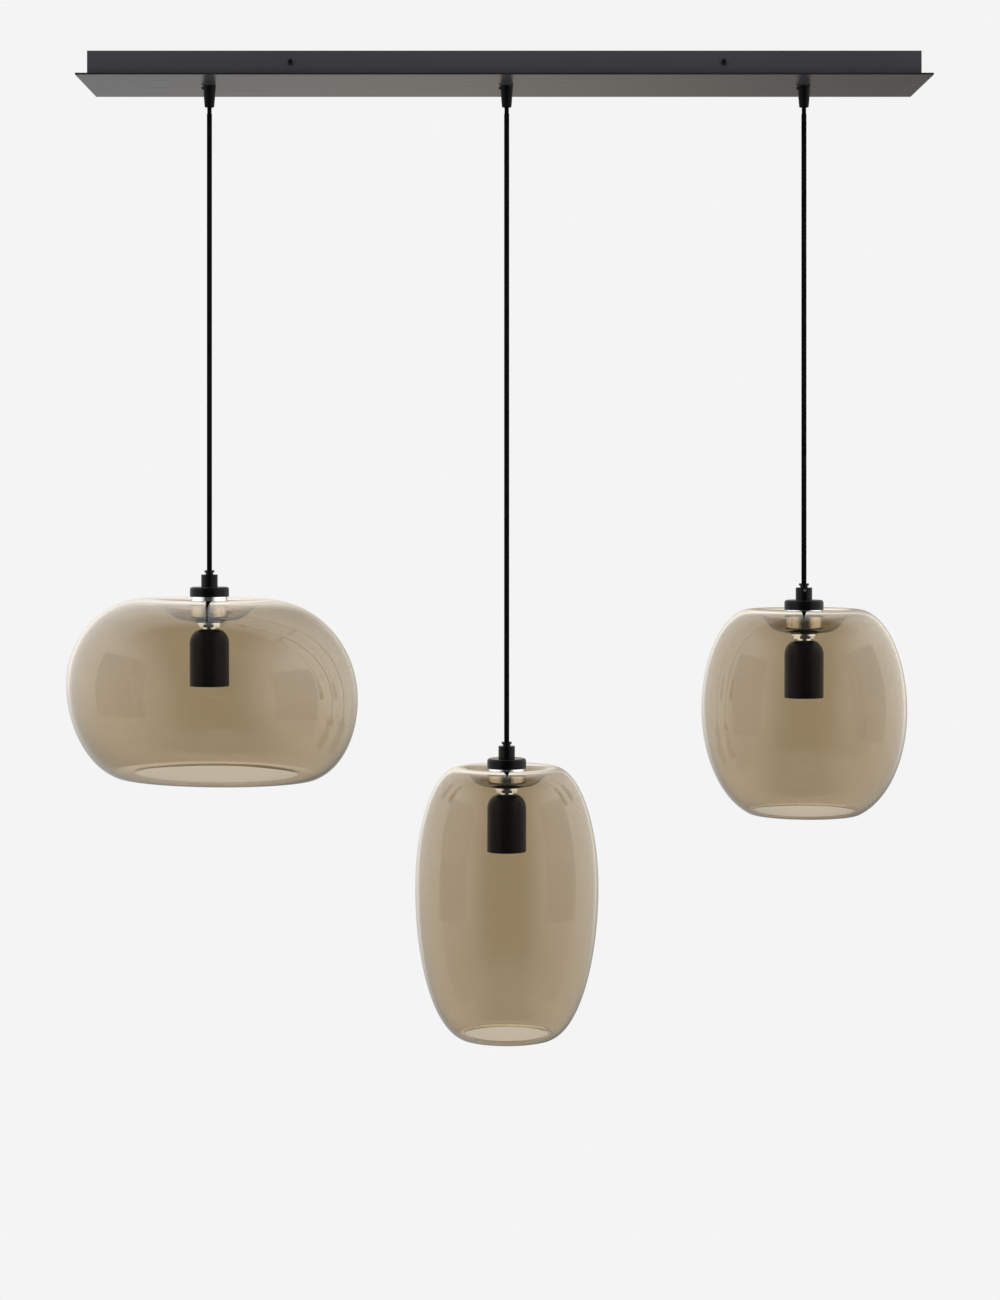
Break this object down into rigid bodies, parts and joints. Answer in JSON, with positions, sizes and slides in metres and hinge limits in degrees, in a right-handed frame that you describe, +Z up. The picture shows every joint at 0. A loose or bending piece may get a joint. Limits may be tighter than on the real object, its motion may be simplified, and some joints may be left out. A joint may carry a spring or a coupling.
{
  "type": "chandelier",
  "caption": "Linear ceiling pendant: a long dark grey canopy with smoked glass shades of different shapes hung on black cords at different heights.",
  "frame": {"origin": "ceiling plane, middle of the canopy and of the ceiling screw pattern", "axes": "+Z up, X along the canopy, -Y the side seen from the room"},
  "size_m": [0.9229, 0.3118, 1.0502],
  "materials": {
    "canopy_paint": "satin dark grey powder coat",
    "black_screws": "blackened",
    "grip_plastic": "matt black",
    "cord_jacket": "smooth black jacket",
    "socket_black": "satin black",
    "zinc_steel": "zinc plated",
    "polished_steel": "polished",
    "gasket_rubber": "matt",
    "smoked_glass": "clear smoked brown",
    "holder_porcelain": "unglazed",
    "contact_brass": "bare",
    "terminal_plastic": "white",
    "lead_jacket": "brown jacket"
  },
  "bodies": {
    "canopy": {"canopy_box": "canopy_paint", "face_plate": "canopy_paint", "ceiling_brackets": "zinc_steel", "side_screws": "black_screws", "grip_screws": "black_screws", "grip_locknuts": "zinc_steel", "terminal_block": "terminal_plastic", "terminal_screws": "zinc_steel", "earth_stud": "contact_brass", "cord_grip_left": "grip_plastic", "cord_tail_left": "cord_jacket", "cord_grip_middle": "grip_plastic", "cord_tail_middle": "cord_jacket", "cord_grip_right": "grip_plastic", "cord_tail_right": "cord_jacket"},
    "left_flex": {"cord_flex_left": "cord_jacket"},
    "left_cord": {"cord_left": "cord_jacket"},
    "left_lamp": {"gland_collar_left": "socket_black", "gland_body_left": "socket_black", "gland_screw_left": "zinc_steel", "cap_left": "socket_black", "spacer_left": "polished_steel", "stem_left": "zinc_steel", "gaskets_left": "gasket_rubber", "shade_left": "smoked_glass", "clamp_nut_left": "polished_steel", "socket_cup_left": "socket_black", "lampholder_left": "holder_porcelain", "socket_contacts_left": "contact_brass", "lamp_leads_left": "lead_jacket"},
    "middle_flex": {"cord_flex_middle": "cord_jacket"},
    "middle_cord": {"cord_middle": "cord_jacket"},
    "middle_lamp": {"gland_collar_middle": "socket_black", "gland_body_middle": "socket_black", "gland_screw_middle": "zinc_steel", "cap_middle": "socket_black", "spacer_middle": "polished_steel", "stem_middle": "zinc_steel", "gaskets_middle": "gasket_rubber", "shade_middle": "smoked_glass", "clamp_nut_middle": "polished_steel", "socket_cup_middle": "socket_black", "lampholder_middle": "holder_porcelain", "socket_contacts_middle": "contact_brass", "lamp_leads_middle": "lead_jacket"},
    "right_flex": {"cord_flex_right": "cord_jacket"},
    "right_cord": {"cord_right": "cord_jacket"},
    "right_lamp": {"gland_collar_right": "socket_black", "gland_body_right": "socket_black", "gland_screw_right": "zinc_steel", "cap_right": "socket_black", "spacer_right": "polished_steel", "stem_right": "zinc_steel", "gaskets_right": "gasket_rubber", "shade_right": "smoked_glass", "clamp_nut_right": "polished_steel", "socket_cup_right": "socket_black", "lampholder_right": "holder_porcelain", "socket_contacts_right": "contact_brass", "lamp_leads_right": "lead_jacket"}
  },
  "joints": [
    {"name": "left_side_swing", "type": "hinge", "parent": "canopy", "child": "left_flex", "pos_m": [-0.317, 0, -0.05], "axis": [0, 1, 0], "range_deg": [-2.5, 25]},
    {"name": "left_front_swing", "type": "hinge", "parent": "left_flex", "child": "left_cord", "pos_m": [-0.317, 0, -0.05], "axis": [1, 0, 0], "range_deg": [-25, 25]},
    {"name": "left_height", "type": "slide", "parent": "left_cord", "child": "left_lamp", "axis": [0, 0, 1], "range_m": [0, 0.35], "deforming": ["cord_left"]},
    {"name": "middle_side_swing", "type": "hinge", "parent": "canopy", "child": "middle_flex", "pos_m": [0.003, 0, -0.05], "axis": [0, 1, 0], "range_deg": [-2.5, 2.5]},
    {"name": "middle_front_swing", "type": "hinge", "parent": "middle_flex", "child": "middle_cord", "pos_m": [0.003, 0, -0.05], "axis": [1, 0, 0], "range_deg": [-25, 25]},
    {"name": "middle_height", "type": "slide", "parent": "middle_cord", "child": "middle_lamp", "axis": [0, 0, 1], "range_m": [0, 0.45], "deforming": ["cord_middle"]},
    {"name": "right_side_swing", "type": "hinge", "parent": "canopy", "child": "right_flex", "pos_m": [0.323, 0, -0.05], "axis": [0, 1, 0], "range_deg": [-25, 2.5]},
    {"name": "right_front_swing", "type": "hinge", "parent": "right_flex", "child": "right_cord", "pos_m": [0.323, 0, -0.05], "axis": [1, 0, 0], "range_deg": [-25, 25]},
    {"name": "right_height", "type": "slide", "parent": "right_cord", "child": "right_lamp", "axis": [0, 0, 1], "range_m": [0, 0.35], "deforming": ["cord_right"]}
  ]
}
